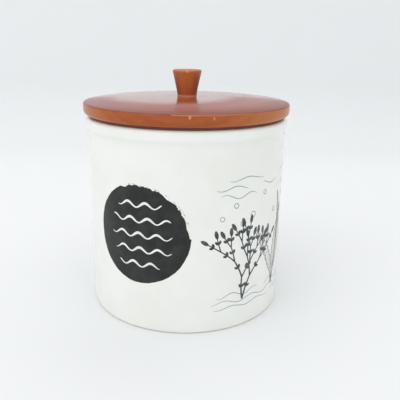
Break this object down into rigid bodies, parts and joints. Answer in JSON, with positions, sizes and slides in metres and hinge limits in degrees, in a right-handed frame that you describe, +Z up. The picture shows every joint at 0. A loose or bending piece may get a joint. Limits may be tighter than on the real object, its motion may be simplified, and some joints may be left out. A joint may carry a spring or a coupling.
{
  "type": "lidded food jar",
  "caption": "Cylindrical glazed earthenware jar for pickled fish, with a crowned teak lid, a flared knob and a sealed plug; the lid lifts off and turns in the mouth.",
  "frame": {"origin": "centre of the foot, on the surface that the jar stands on", "axes": "+Z up along the jar's own axis; -Y is the side that faces the viewer in the picture, with the round label spot to its left"},
  "size_m": [0.1204, 0.1204, 0.139],
  "materials": {
    "glaze": "glossy white glaze",
    "teak": "oiled and polished, satin to glossy",
    "plug_wood": "oiled, matt",
    "seal": "soft, red-brown, matt",
    "screw": "plain, slightly dull"
  },
  "bodies": {
    "crock": {"crock": "glaze"},
    "seal": {"seal_ring": "seal"},
    "lid": {"lid_disc": "teak", "lid_plug": "plug_wood", "knob": "teak", "knob_screw": "screw"}
  },
  "joints": [
    {"name": "lid_lift", "type": "slide", "parent": "crock", "child": "seal", "axis": [0, 0, 1], "range_m": [0, 0.13]},
    {"name": "lid_turn", "type": "hinge", "parent": "seal", "child": "lid", "pos_m": [0, 0, 0.1145], "axis": [0, 0, 1], "continuous": true}
  ]
}
